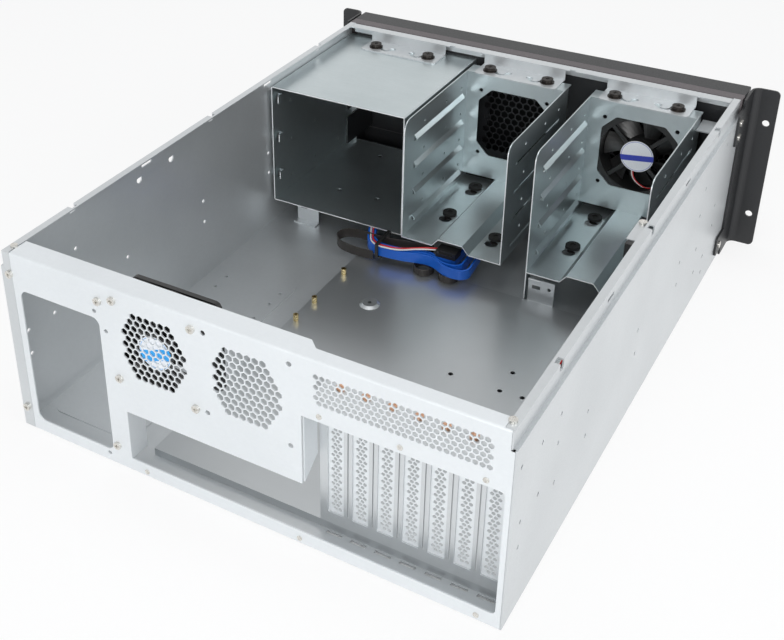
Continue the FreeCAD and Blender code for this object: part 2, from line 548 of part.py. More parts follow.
def drive_cage(label, left, legs=()):
    """Cage for four drives, closed at the front by a wall with a fan opening."""
    name = label
    x0 = "(%s)" % left
    x1 = "(%s - drive_cage_width)" % left
    along = ("rear - cage_front", "rear - cage_rear")
    walls = []
    for side, low, high in (("left", x0 + " - cage_sheet", x0), ("right", x1, x1 + " + cage_sheet")):
        plate = box("%s_%s" % (name, side), (low, high), along, ("cage_floor", "cage_top"))
        rear = val("rear - cage_rear")
        top = val("cage_top")
        walls.append(rounded("%s_%s_round" % (name, side), plate, "x", "cage_corner",
                             lambda p: p.y > rear - 0.01 and p.z > top - 0.01))
    outer = [(val(x0) - a, val("cage_floor") + b) for a, b in cage_profile(0)]
    inner = [(val(x0) - a, val("cage_floor") + b) for a, b in reversed(cage_profile(val("cage_sheet")))]
    start = val("rear - cage_front")
    floor = made(name + "_floor", prism(outer + inner, "y", start, val("cage_front - cage_rear")))
    wall_y = ("rear - fan_wall - cage_sheet", "rear - fan_wall")
    fan_wall = box(name + "_fan_wall", (x1, x0), wall_y, ("cage_floor + channel_rise + 1", "cage_top"))
    shelf = box(name + "_shelf", (x1, x0), ("rear - fan_wall - fan_flange", "rear - fan_wall"),
                ("cage_top - cage_sheet", "cage_top"))
    tools = []
    middle = "(%s - drive_cage_width / 2)" % left
    half = "fan_opening / 2"
    hole = box(name + "_fan_hole", (middle + " - " + half, middle + " + " + half),
               ("rear - fan_wall - 2", "rear - fan_wall + 1"), ("fan_centre - " + half, "fan_centre + " + half))
    doc.recompute()
    chamfer = doc.addObject("Part::Chamfer", name + "_fan_hole_cut")
    chamfer.Base = hole
    size = val("opening_corner")
    chamfer.Edges = [(i, size, size) for i, e in enumerate(hole.Shape.Edges, start=1)
                     if abs(e.Vertexes[0].Point.y - e.Vertexes[1].Point.y) > 1]
    tools.append(rounded(name + "_fan_hole_round", chamfer, "y", "5"))
    half = "fan_holes / 2"
    places = [("%s %s %s" % (middle, sx, half), "fan_centre %s %s" % (sz, half)) for sx in "+-" for sz in "+-"]
    tools += thumb_holes(name, middle)
    tools += pattern_holes(name + "_fan_screw", "y", "fan_hole", places, "rear - fan_wall - 2", "4")
    for spot, (dx, distance) in enumerate(FOOT_HOLES):
        place = ("%s - %s" % (x0, dx), "rear - %s + 11" % distance)
        tools += pattern_holes("%s_keyhole_%d" % (name, spot), "z", "keyhole", [place], "cage_floor - 1", "3")
        neck = "%s - %s" % (x0, dx)
        tools.append(box("%s_neck_%d" % (name, spot), (neck + " - 2.2", neck + " + 2.2"),
                         ("rear - %s - 2.2" % distance, "rear - %s + 11" % distance),
                         ("cage_floor - 1", "cage_floor + 2")))
    ribs = []
    near = val("rear - cage_rear - rib_start")
    far = near - val("rib_length")
    for k in range(4):
        z = val("rib_low + %d * rib_pitch" % k)
        tall, deep, skin = val("rib_height"), val("rib_depth"), val("cage_sheet")
        for side, x, inward in (("left", val(x0), -1), ("right", val(x1), 1)):
            tools.append(box("%s_rib_gap_%s_%d" % (name, side, k),
                             (str(min(x, x + inward * skin) - 1), str(max(x, x + inward * skin) + 1)),
                             (str(far), str(near)), (str(z - 1), str(z + 2))))
            outline = [(x, z + tall), (x + inward * skin, z + tall), (x + inward * (deep + skin), z + 2),
                       (x + inward * (deep + skin), z), (x + inward * deep, z), (x + inward * deep, z + 1.6)]
            ribs.append(made("%s_rib_%s_%d" % (name, side, k), prism(outline, "y", far, near - far)))
    for side, x in (("left", x0 + " - 2"), ("right", x1 + " - 1")):
        places = []
        for k in range(4):
            for distance in (420, 470, 506):
                places.append(("rear - %d" % distance, "rib_low + %d * rib_pitch + 13" % k))
        tools += pattern_holes("%s_%s_screw" % (name, side), "x", "1.5", places, x, "3")
    feet = [box("%s_leg_%d" % (name, k), (x0 + " - cage_sheet", x0), (y, y + " + 12"), ("steel", "cage_floor + 1"))
            for k, y in enumerate(legs)]
    body = fuse(name + "_body", walls + [floor, fan_wall, shelf] + feet)
    solid = cut(name + "_cut", body, tools)
    part(fuse(name + "_ribbed", [solid] + ribs), label)
    grommets = []
    for spot, (dx, distance) in enumerate(FOOT_HOLES):
        place = ("%s - %s" % (x0, dx), "rear - %s" % distance)
        rim = rod("%s_rim_%d" % (name, spot), "z", "grommet_radius", "grommet_height", *place,
                  "cage_floor + cage_sheet")
        neck = rod("%s_stem_%d" % (name, spot), "z", "2", "cage_sheet + 4", *place, "cage_floor - 3")
        flat = rod("%s_pad_%d" % (name, spot), "z", "grommet_radius - 2", "1.5", *place, "cage_floor - 3")
        dimple = rod("%s_dimple_%d" % (name, spot), "z", "3", "2", *place,
                     "cage_floor + cage_sheet + grommet_height - 1.2")
        ring = cut("%s_rim_cut_%d" % (name, spot), rim, [dimple])
        grommets.append(fuse("%s_grommet_%d" % (name, spot), [ring, neck, flat]))
    part(group(name + "_grommets", grommets), label + "_grommets")


def bay_cage():
    """Box for three bays, open at front and rear."""
    outer = box("bay_outer", ("bay_right", "bay_left"), ("body_front + steel + fit_gap", "rear - bay_rear"),
                ("bay_low", "cage_top"))
    inner = box("bay_inner", ("bay_right + cage_sheet", "bay_left - cage_sheet"),
                ("body_front", "rear - bay_rear + 1"), ("bay_low + cage_sheet", "cage_top - cage_sheet"))
    top = val("cage_top")
    low = val("bay_low")
    bent = rounded("bay_bends", outer, "y", "1.6", lambda p: p.z > top - 0.01 or p.z < low + 0.01)
    tools = [inner] + thumb_holes("bay", "(bay_left - bay_width / 2)")
    for k in range(3):
        z = "bay_low + %s * bay_height + 24" % k
        for side, x in (("left", "bay_left - 3"), ("right", "bay_right - 2")):
            tools.append(box("bay_slot_%s_%d" % (side, k), (x, x + " + 5"),
                             ("rear - bay_rear - 12", "rear - bay_rear - 6"), (z, z + " + 8")))
            places = [("rear - %d" % d, z + " - 9") for d in (420, 470, 520)]
            tools += pattern_holes("bay_hole_%s_%d" % (side, k), "x", "1.6", places, x, "5")
    places = [("158.5", "rear - 527.6"), ("159.6", "rear - 436.7"), ("114.6", "rear - 438.3")]
    tools += pattern_holes("bay_floor_hole", "z", "2.6", places, "bay_low - 1", "4")
    tools += pattern_holes("bay_slot_hole", "z", "2.0", [("100", "rear - 500")], "bay_low - 1", "4")
    solid = cut("bay_cut", bent, tools)
    tabs = []
    for k in range(3):
        z = "bay_low + %s * bay_height + 24" % k
        tabs.append(box("bay_tab_%d" % k, ("bay_left - cage_sheet - 5", "bay_left - cage_sheet + 0.5"),
                        ("rear - bay_rear - 12 - cage_sheet", "rear - bay_rear - 12"), (z, z + " + 8")))
        tabs.append(box("bay_hook_%d" % k, ("bay_left - cage_sheet - 5", "bay_left - cage_sheet - 4"),
                        ("rear - bay_rear - 12 - cage_sheet", "rear - bay_rear - 4"), (z, z + " + 8")))
    part(fuse("bay_tabbed", [solid] + tabs), "bay_cage")


# ---------------------------------------------------------------- fans

def blade(radius_a, radius_b, base, height, skew):
    """One fan blade: a twisted, cambered sheet from hub to tip."""
    sheet_half = val("blade_sheet") / 2
    wires = []
    for radius, chord, rise, turn in ((radius_a, 11, height, 0), (radius_b, 23, height * 0.8, skew)):
        upper, lower = [], []
        for step in range(6):
            part_way = step / 5 - 0.5
            tangent = chord * part_way
            axial = base + height / 2 + rise * part_way + 1.6 * (0.25 - part_way * part_way) * 4
            upper.append((tangent, axial + sheet_half))
            lower.append((tangent, axial - sheet_half))
        points = []
        for tangent, axial in upper + lower[::-1]:
            spot = Rotation(Vector(0, 1, 0), turn).multVec(Vector(tangent, 0, radius))
            points.append(Vector(spot.x, axial, spot.z))
        wires.append(Part.makePolygon(points + points[:1]))
    return Part.makeLoft(wires, True, True)


def fan(label, cx, cz, back, turn, depth):
    """An 80 mm fan whose hub plate faces the rear; back is the plane of its rear face."""
    x, y, z = "(%s)" % cx, "(%s)" % back, "(%s)" % cz
    half = "fan_size / 2"
    pieces = []
    for name, low, high in (("rear", y + " - 4", y), ("front", y + " - %s" % depth, y + " - %s + 4" % depth)):
        plate = box("%s_%s" % (label, name), (x + " - " + half, x + " + " + half), (low, high),
                    (z + " - " + half, z + " + " + half))
        pieces.append(rounded("%s_%s_round" % (label, name), plate, "y", "5"))
    pieces.append(rod(label + "_tube", "y", "duct_radius + 1.4", depth + " - 1", x, y + " - %s + 0.5" % depth, z))
    duct = rod(label + "_duct", "y", "duct_radius", depth + " + 2", x, y + " - %s - 1" % depth, z)
    places = [("%s %s fan_holes / 2" % (x, sx), "%s %s fan_holes / 2" % (z, sz)) for sx in "+-" for sz in "+-"]
    holes = pattern_holes(label + "_screw_hole", "y", "fan_hole", places, y + " - %s - 1" % depth, depth + " + 2")
    shell = cut(label + "_shell", fuse(label + "_shell_body", pieces), [duct] + holes)
    hub = rod(label + "_hub_plate", "y", "hub_radius", "4", x, y + " - 4.2", z)
    struts = [hub]
    for k in range(4):
        strut = Part.makeBox(4, 2.6, val("duct_radius - hub_radius") + 4, Vector(-2, -1.3, val("hub_radius") - 2))
        strut.rotate(Vector(), Vector(0, 1, 0), 45 + 90 * k)
        strut.translate(Vector(val(x), val(y) - 2.6, val(z)))
        struts.append(made("%s_strut_%d" % (label, k), strut))
    socket = rod(label + "_socket", "y", "shaft_radius + shaft_gap", "7.2", x, y + " - 8.2", z)
    stator = cut(label + "_stator", fuse(label + "_stator_body", struts), [socket])
    part(fuse(label + "_whole", [shell, stator]), label + "_frame")
    start, height = val(y) - val(depth) + 4, val(depth) - 15
    centre = Vector(val(x), val(y), val(z))
    reach = Part.makeCylinder(val("rotor_radius"), val(depth),
                              centre - Vector(0, val(depth), 0), Vector(0, 1, 0))
    spinner = Part.makeCylinder(val("hub_radius"), val(depth) - 8,
                                centre - Vector(0, val(depth) - 2, 0), Vector(0, 1, 0))
    for k in range(int(val("blade_count"))):
        solid = blade(val("hub_radius") - 2, val("rotor_radius") + 0.5, start, height, 18)
        solid.rotate(Vector(), Vector(0, 1, 0), turn + 360 * k / val("blade_count"))
        solid.translate(Vector(val(x), 0, val(z)))
        spinner = spinner.fuse(solid.common(reach))
    shaft = Part.makeCylinder(val("shaft_radius"), 5.8, centre - Vector(0, 7, 0), Vector(0, 1, 0))
    part(made(label + "_spinner", spinner.fuse(shaft)), label + "_rotor")


# ---------------------------------------------------------------- front

def hanger_middles():
    return ["(bay_left - bay_width / 2)", "(centre_cage_left - drive_cage_width / 2)",
            "(side_cage_left - drive_cage_width / 2)"]


def beam():
    """Top strip behind the bezel with three stepped hangers that reach over the cages."""
    front = "body_front + steel + fit_gap"
    back = "body_front + beam_depth"
    top = "body_height"
    pieces = [box("beam_strip", ("0 - flange_edge + fit_gap", "flange_edge - fit_gap"), (front, back),
                  (top + " - steel", top)),
              box("beam_face", ("0 - flange_edge + fit_gap", "flange_edge - fit_gap"), (front, front + " + steel"),
                  (top + " - 9", top))]
    tools = []
    for k, middle in enumerate(hanger_middles()):
        wide = (middle + " - hanger_width / 2", middle + " + hanger_width / 2")
        drop = "hanger_top"
        pieces.append(box("hanger_step_%d" % k, wide, (back + " - steel", back), (drop + " - steel", top)))
        plate = box("hanger_plate_%d" % k, wide, (back + " - steel", "rear - fan_wall + 3"),
                    (drop + " - steel", drop))
        near = val("rear - fan_wall + 3")
        pieces.append(rounded("hanger_round_%d" % k, plate, "z", "3", lambda p, near=near: p.y > near - 0.01))
        for sign in "+-":
            x = "%s %s screw_spacing / 2" % (middle, sign)
            other = "-" if sign == "+" else "+"
            inner = "%s %s (screw_spacing / 2 - 13)" % (middle, sign)
            y = "rear - fan_wall - fan_flange / 2"
            tools += pattern_holes("hanger_hole_%d_%s" % (k, "a" if sign == "+" else "b"), "z", "2.4",
                                   [(x, y)], drop + " - 3", "5")
            arc = Part.makeCylinder(8, 5, Vector(val(inner), val(y) - 1.5, val(drop) - 3))
            arc = arc.cut(Part.makeCylinder(5, 7, Vector(val(inner), val(y) - 1.5, val(drop) - 4)))
            arc = arc.cut(Part.makeBox(20, 20, 9, Vector(val(inner) - 10, val(y) - 21.5, val(drop) - 5)))
            big = Part.makeCylinder(3.6, 5, Vector(val("%s %s 6.5" % (inner, other)), val(y) - 1.5, val(drop) - 3))
            tools.append(made("hanger_arc_%d_%s" % (k, "a" if sign == "+" else "b"), arc.fuse(big)))
        if k < 2:
            gap = "(%s + %s) / 2" % (middle, hanger_middles()[k + 1])
            tools.append(box("beam_nick_%d" % k, (gap + " + 12", gap + " + 18"), (back + " - 3", back + " + 1"),
                             (top + " - 3", top + " + 1")))
    part(cut("beam_cut", fuse("beam_body", pieces), tools), "front_top_beam")
    for k, middle in enumerate(hanger_middles()):
        screws = []
        for index, sign in enumerate("+-"):
            x = "%s %s screw_spacing / 2" % (middle, sign)
            y = "rear - fan_wall - fan_flange / 2"
            flange = rod("thumb_flange_%d_%d" % (k, index), "z", "thumb_radius + 1.4", "1", x, y, "hanger_top")
            grip = rod("thumb_grip_%d_%d" % (k, index), "z", "thumb_radius", "thumb_height - 1", x, y,
                       "hanger_top + 1")
            cross = [box("thumb_cross_%d_%d_%d" % (k, index, n), (x + " - " + a, x + " + " + a),
                         (y + " - " + b, y + " + " + b), ("hanger_top + thumb_height - 1.2", "hanger_top + 9"))
                     for n, (a, b) in enumerate((("2.4", "0.5"), ("0.5", "2.4")))]
            shank = rod("thumb_shank_%d_%d" % (k, index), "z", "1.9", "6", x, y, "hanger_top - 5")
            head = cut("thumb_cut_%d_%d" % (k, index), fuse("thumb_head_%d_%d" % (k, index), [flange, grip]),
                       [fuse("thumb_cross_both_%d_%d" % (k, index), cross)])
            screws.append(fuse("thumb_%d_%d" % (k, index), [head, shank]))
        part(group("thumbs_%d" % k, screws), ("bay", "centre", "side")[k] + "_thumbscrews")


def front_wall():
    """Black inner wall behind the bezel with honeycomb windows in front of the drive cages."""
    plate = box("front_plate", ("0 - inside + hidden_lip + fit_gap", "inside - hidden_lip - fit_gap"),
                ("body_front", "body_front + steel"), ("12 + fit_gap", "body_height - 10"))
    tools = [box("bay_window", ("bay_right + 1.5", "inside - hidden_lip + 1"), ("body_front - 1", "body_front + 3"),
                 ("bay_low + 1.5", "cage_top - 1.5"))]
    y, skin = val("body_front"), val("steel")
    plates = []
    for k, low in enumerate(("side_cage_left", "centre_cage_left")):
        corners = ((val(low + " - drive_cage_width + 4"), val("cage_floor") + 22),
                   (val(low + " - 4"), val("cage_top") - 4))
        tools.append(clearing("front_mesh_%d" % k, *corners, y, skin))
        plates.append(perforated("front_mesh_%d" % k, *corners, val("mesh_pitch"), val("mesh_hole"), y, skin))
    part(inset("front_wall_whole", cut("front_wall_cut", plate, tools), plates), "front_wall")


def bezel():
    """Black frame and fascia in front of the body."""
    wide = ("0 - bezel_half", "bezel_half")
    high = ("0.5", "body_height")
    back = ("fascia_back + sheet_gap", "body_front - sheet_gap")
    outer = box("bezel_outer", wide, back, high)
    inner = box("bezel_inner", ("0 - bezel_half + bezel_wall", "bezel_half - bezel_wall"),
                ("fascia_back - 1", "body_front + 1"), ("0.5 + bezel_wall", "body_height - bezel_wall"))
    shell = cut("bezel_ring", rounded("bezel_round", outer, "y", "1.2"), [inner])
    part(shell, "bezel_frame")
    outer = box("fascia_outer", wide, ("face", "fascia_back"), high)
    front = val("face")
    soft = rounded("fascia_round", rounded("fascia_sides", outer, "y", "1.2"), "x", "2",
                   lambda p: p.y < front + 0.01)
    hollow = box("fascia_hollow", ("0 - bezel_half + bezel_wall", "bezel_half - bezel_wall"),
                 ("plate_back", "fascia_back + 1"), ("0.5 + bezel_wall", "body_height - bezel_wall"))
    through = ("face - 1", "plate_back + 1")
    tools = [hollow, box("bays_opening", ("bay_right + 1.5", "bay_left - 1.5"), through,
                         ("bay_low + 1.5", "cage_top - 1.5"))]
    for k, (low, high_x) in enumerate((("0 - 196", "0 - 72"), ("0 - 62", "bay_right - 12"))):
        window = box("intake_%d" % k, (low, high_x), through, ("36", "body_height - 16"))
        tools.append(rounded("intake_round_%d" % k, window, "y", "6"))
    tools += pattern_holes("button_hole", "y", "button_radius + fit_gap", [("0 - 180", "19")], "face - 1", "6")
    tools += pattern_holes("reset_hole", "y", "reset_radius + fit_gap", [("0 - 160", "19")], "face - 1", "6")
    tools += pattern_holes("lamp_hole", "y", "lamp_radius + 0.05", [("0 - 140", "19"), ("0 - 130", "19")],
                           "face - 1", "6")
    for k in range(2):
        x = "0 - 92 + %d * 22" % k
        tools.append(box("port_hole_%d" % k, (x + " - 6.8", x + " + 6.8"), through, ("15", "22")))
    part(cut("fascia_cut", soft, tools), "front_fascia")
    mesh = box("mesh_plate", ("0 - 202", "bay_right - 6"), ("plate_back", "plate_back + 1"),
               ("30", "body_height - 10"))
    tools, plates = [], []
    for k, (low, high_x) in enumerate((("0 - 196", "0 - 72"), ("0 - 62", "bay_right - 12"))):
        corners = (val(low), 36), (val(high_x), val("body_height") - 16)
        tools.append(clearing("mesh_%d" % k, *corners, val("plate_back"), 1))
        plates.append(perforated("mesh_%d" % k, *corners, val("mesh_pitch"), val("mesh_hole"),
                                 val("plate_back"), 1))
    part(inset("mesh_whole", cut("mesh_cut", mesh, tools), plates), "intake_mesh")
    part(box("filter_sheet", ("0 - 202", "bay_right - 6"), ("plate_back + 1.2", "plate_back + 4.2"),
             ("30", "body_height - 10")), "intake_filter")
    for k in range(int(val("bay_count"))):
        step = "(cage_top - bay_low - 3) / bay_count"
        low = "bay_low + 1.5 + %d * %s + cover_gap" % (k, step)
        top = "bay_low + 1.5 + %d * %s - cover_gap" % (k + 1, step)
        plate = box("bay_cover_plate_%d" % k, ("bay_right + 1.5 + cover_gap", "bay_left - 1.5 - cover_gap"),
                    ("face", "face + 2.5"), (low, top))
        legs = [box("bay_cover_leg_%d_%s" % (k, side), (x, x + " + 2"), ("face + 2", "body_front + 26"),
                    (low + " + 4", top + " - 4"))
                for side, x in (("left", "bay_left - 9.2"), ("right", "bay_right + 4.5"))]
        edge = val("face")
        plate = rounded("bay_cover_soft_%d" % k, plate, "x", "1", lambda p: p.y < edge + 0.01)
        part(fuse("bay_cover_%d" % k, [plate] + legs), "bay_cover_%d" % (k + 1))


def controls():
    """Buttons, lamps and the input and output board behind them."""
    for label, radius, x in (("power_button", "button_radius", "0 - 180"),
                             ("reset_button", "reset_radius", "0 - 160")):
        cap = rod(label + "_cap", "y", radius, "fascia_plate + button_proud + 3", x, "face - button_proud",
                  "19")
        collar = rod(label + "_collar", "y", radius + " + 1.6", "1.5", x, "plate_back + 0.5", "19")
        stem = rod(label + "_stem", "y", "1.6", "8", x, "plate_back + 2", "19")
        doc.recompute()
        soft = doc.addObject("Part::Fillet", label + "_soft")
        soft.Base = cap
        tip = val("face - button_proud")
        soft.Edges = [(i, 0.6, 0.6) for i, e in enumerate(cap.Shape.Edges, start=1)
                      if isinstance(e.Curve, Part.Circle) and abs(e.CenterOfMass.y - tip) < 0.01]
        part(fuse(label + "_whole", [soft, collar, stem]), label)
    lamps = []
    for k, x in enumerate(("0 - 140", "0 - 130")):
        lamps.append(rod("lamp_%d" % k, "y", "lamp_radius", "fascia_plate + 4.2", x, "face - 0.4", "19"))
    part(group("lamps", lamps), "indicator_lamps")
    switch = box("switch_plate", ("0 - 192", "0 - 124"), ("plate_back + 12", "plate_back + 13.6"), ("11", "28"))
    bodies = [switch]
    for k, x in enumerate(("0 - 180", "0 - 160")):
        bodies.append(box("switch_%d" % k, (x + " - 3", x + " + 3"),
                          ("plate_back + 10.2 + button_travel", "plate_back + 12"), ("16", "22")))
    part(fuse("switch_whole", bodies), "switch_board")
    board = box("io_plate", ("0 - 104", "0 - 58"), ("plate_back + 1", "body_front - 2"), ("13.6", "15.2"))
    part(board, "front_io_board")
    ports = []
    for k in range(2):
        x = "0 - 92 + %d * 22" % k
        shell = box("port_%d" % k, (x + " - 6.5", x + " + 6.5"), ("face + 0.4", "face + 15"), ("15.2", "21.8"))
        hole = box("port_inside_%d" % k, (x + " - 6", x + " + 6"), ("face", "face + 14"), ("15.7", "21.3"))
        tongue = box("port_tongue_%d" % k, (x + " - 5.2", x + " + 5.2"), ("face + 1.4", "face + 14.5"),
                     ("19", "20.6"))
        ports.append(fuse("port_whole_%d" % k, [cut("port_shell_%d" % k, shell, [hole]), tongue]))
    part(group("ports", ports), "front_ports")


def ear(side):
    """Rack ear: a bent steel plate with a side flange on the case wall."""
    s = 1 if side == "left" else -1
    outer, skin, bend = val("rack_width / 2"), val("ear_sheet"), val("ear_bend")
    wall, face = val("half") + val("sheet_gap"), val("face")
    reach = val("ear_reach")
    hub = (wall + bend + 0.0, face + bend)

    def arc(radius):
        points = []
        for step in range(7):
            angle = math.radians(180 + 15 * step)
            points.append((hub[0] + radius * math.cos(angle), hub[1] + radius * math.sin(angle)))
        return points

    outline = [(wall, face + reach)] + arc(bend) + [(outer, face), (outer, face + skin)]
    outline += arc(bend - skin)[::-1] + [(wall + skin, face + reach)]
    solid = prism([(s * x, y) for x, y in outline], "z", 0, val("body_height"))
    plate = made("ear_%s_bent" % side, solid)
    low_x, high_x = sorted((s * wall, s * (wall + skin)))
    across = (str(low_x), str(high_x))
    upper = box("ear_%s_upper" % side, across, ("face + ear_reach - 1", "face + ear_reach + 17"), ("128", "165"))
    lower = box("ear_%s_lower" % side, across, ("face + ear_reach - 1", "face + ear_tab"), ("9", "30"))
    tabs = [rounded("ear_%s_upper_round" % side, upper, "x", "4", lambda p: p.y > face + reach + 10),
            rounded("ear_%s_lower_round" % side, lower, "x", "4", lambda p: p.y > face + reach + 10)]
    body = fuse("ear_%s_body" % side, [plate] + tabs)
    corner = rounded("ear_%s_corners" % side, body, "y", "5", lambda p: abs(p.x) > outer - 0.01)
    tools = []
    for k, sign in enumerate("+-"):
        z = "body_height / 2 %s rack_hole_z / 2" % sign
        x = "%d * rack_hole_x / 2" % s
        tools.append(rod("ear_%s_hole_%d" % (side, k), "y", "rack_hole", "ear_sheet + 2", x, "face - 1", z))
    start = str(min(s * (wall - 1), s * (wall + skin + 1)))
    tools += pattern_holes("ear_%s_screw" % side, "x", "ear_bore", EAR_SCREWS, start, "ear_sheet + 2")
    part(cut("ear_%s_cut" % side, corner, tools), "rack_ear_" + side)


def ear_screws():
    screws = []
    for side, out in (("left", 1), ("right", -1)):
        for k, (y, z) in enumerate(EAR_SCREWS):
            start = "half + sheet_gap + ear_sheet" if out > 0 else "0 - half - sheet_gap - ear_sheet - 1.4"
            head = rod("ear_head_%s_%d" % (side, k), "x", "3.6", "1.4", start, y, z)
            shank = "inside - 2" if out > 0 else "0 - half - sheet_gap - ear_sheet - 0.5"
            stem = rod("ear_stem_%s_%d" % (side, k), "x", "1.9", "steel + sheet_gap + ear_sheet + 2.5", shank,
                       y, z)
            screws.append(fuse("ear_screw_%s_%d" % (side, k), [head, stem]))
    part(group("ear_screw_group", screws), "ear_screws")


# ---------------------------------------------------------------- cables

def rounded_path(points, note):
    """Straight runs joined by tangent arcs; each arc takes 0.45 of its shorter run at either side."""
    edges = []
    radii = []
    start = points[0]
    for before, corner, after in zip(points, points[1:], points[2:]):
        come = (corner - before).normalize()
        leave = (after - corner).normalize()
        turn = come.getAngle(leave)
        reach = 0.45 * min((corner - before).Length, (after - corner).Length)
        radius = reach / math.tan(turn / 2)
        radii.append(radius)
        inward = (leave - come).normalize()
        middle = corner + inward * (math.hypot(radius, reach) - radius)
        near = corner - come * reach
        far = corner + leave * reach
        edges.append(Part.LineSegment(start, near).toShape())
        edges.append(Part.Arc(near, middle, far).toShape())
        start = far
    edges.append(Part.LineSegment(start, points[-1]).toShape())
    print("%s: %.0f mm long, arc radii %s" % (note, sum(e.Length for e in edges), ["%.1f" % r for r in radii]))
    return Part.Wire(edges)


def tube(name, points, radius):
    """A round lead along a rounded path."""
    path = rounded_path(points, name)
    along = (points[1] - points[0]).normalize()
    ring = Part.Wire(Part.makeCircle(radius, points[0], along))
    solid = path.makePipeShell([ring], True, False)
    wanted = math.pi * radius ** 2 * path.Length
    if abs(solid.Volume - wanted) > 0.02 * wanted:
        raise RuntimeError("%s: volume %.1f, section times length %.1f" % (name, solid.Volume, wanted))
    return made(name, solid)


def ribbon(name, points, low, high, thick):
    """A flat cable on edge along a rounded path in plan."""
    spots = [Vector(x, y, low) for x, y in points]
    path = rounded_path(spots, name)
    along = (spots[1] - spots[0]).normalize()
    side = along.cross(Vector(0, 0, 1)) * (thick / 2)
    rise = Vector(0, 0, high - low)
    corners = [spots[0] + side, spots[0] + side + rise, spots[0] - side + rise, spots[0] - side]
    corners.append(corners[0])
    return made(name, path.makePipeShell([Part.makePolygon(corners)], True, False))


FAN_LEAD = [(-150, -241, 66), (-150, -243, 24), (-153, -205, 9), (-162, -160, 7), (-145.5, -114, 5),
            (-152, -78, 13), (-139.5, -48, 10.6), (-147, -16, 10), (-147, 16, 10)]
BLUE_RUNS = (
    [(106, -114), (84, -64), (50, -65), (18, -74), (-4, -61), (-25, -64), (-21, -104)],
    [(103, -115.5), (82, -67), (50, -68), (20, -77), (2, -67), (-15, -70), (-13, -108)],
    [(100, -117), (80, -70), (50, -71), (23, -80.5), (9, -74), (-5, -77), (-4, -112)],
)
RED_RUN = [(100, -108, 27.4), (78, -64, 28), (50, -66.5, 28.3), (32, -78, 29), (14.3, -84, 30.5)]
WHITE_RUN = [(102, -107.2, 27.3), (79.3, -61.9, 27.4), (50, -64.4, 27.7), (33.2, -75.6, 28.3),
             (14.3, -82.2, 29.6)]


def cables():
    """Flat data cables held by a tie under the bay cage, panel leads with their plug, and the fan lead."""
    low = val("cable_low")
    high = val("cable_low + cable_width")
    thick = val("cable_sheet")
    strips = [ribbon("blue_run_%d" % k, run, low, high, thick) for k, run in enumerate(BLUE_RUNS)]
    part(group("blue_strips", strips), "blue_cables")
    part(tube("red_run", [Vector(*p) for p in RED_RUN], val("wire_radius")), "panel_lead_red")
    part(tube("white_run", [Vector(*p) for p in WHITE_RUN], val("wire_radius")), "panel_lead_white")
    plug = box("panel_plug_body", ("0 - 7", "14"), ("0 - 89", "0 - 75"), ("26.8", "33.6"))
    notch = box("panel_plug_notch", ("0 - 4", "10"), ("0 - 76.5", "0 - 74"), ("31", "35"))
    part(cut("panel_plug_cut", plug, [notch]), "panel_plug")
    outer = [(-60.2, 14.7), (-60.2, 30.1), (-88.5, 31.8), (-89.6, 28), (-75, 14.7)]
    inner = [(-61.2, 15.7), (-61.2, 29.2), (-87.7, 30.7), (-88.2, 28.3), (-75.4, 15.7)]
    band = made("tie_outer", prism(outer, "x", 70, 3.5)).Shape.cut(prism(inner, "x", 69, 6))
    lock = Part.makeBox(5, 5, 3.4, Vector(69.2, -70, 11.6))
    part(made("tie_loop", band.fuse(lock)), "cable_tie")
    coils = []
    for k, (x, y) in enumerate(((24, -70.7), (-3, -70.7))):
        first = val("tray_top + coil_wire")
        pitch = val("coil_wire") * 2 - 0.1
        turns = [Part.makeTorus(val("coil_radius"), val("coil_wire"), Vector(x, y, first + n * pitch))
                 for n in range(5)]
        coils.append(made("coil_%d" % k, turns[0].multiFuse(turns[1:])))
    part(group("coil_pair", coils), "lead_coils")
    part(tube("fan_lead_run", [Vector(*p) for p in FAN_LEAD], val("lead_radius")), "front_fan_lead")
    end = FAN_LEAD[-1]
    shell = box("fan_plug_body", (str(end[0] - 4), str(end[0] + 4)), (str(end[1]), str(end[1] + 12)),
                ("tray_top + 0.1", "tray_top + 5.4"))
    slot = box("fan_plug_slot", (str(end[0] - 3), str(end[0] + 3)), (str(end[1] + 6), str(end[1] + 13)),
               ("tray_top + 1.4", "tray_top + 4.2"))
    part(cut("fan_plug_cut", shell, [slot]), "front_fan_plug")


# ---------------------------------------------------------------- small steel and fasteners

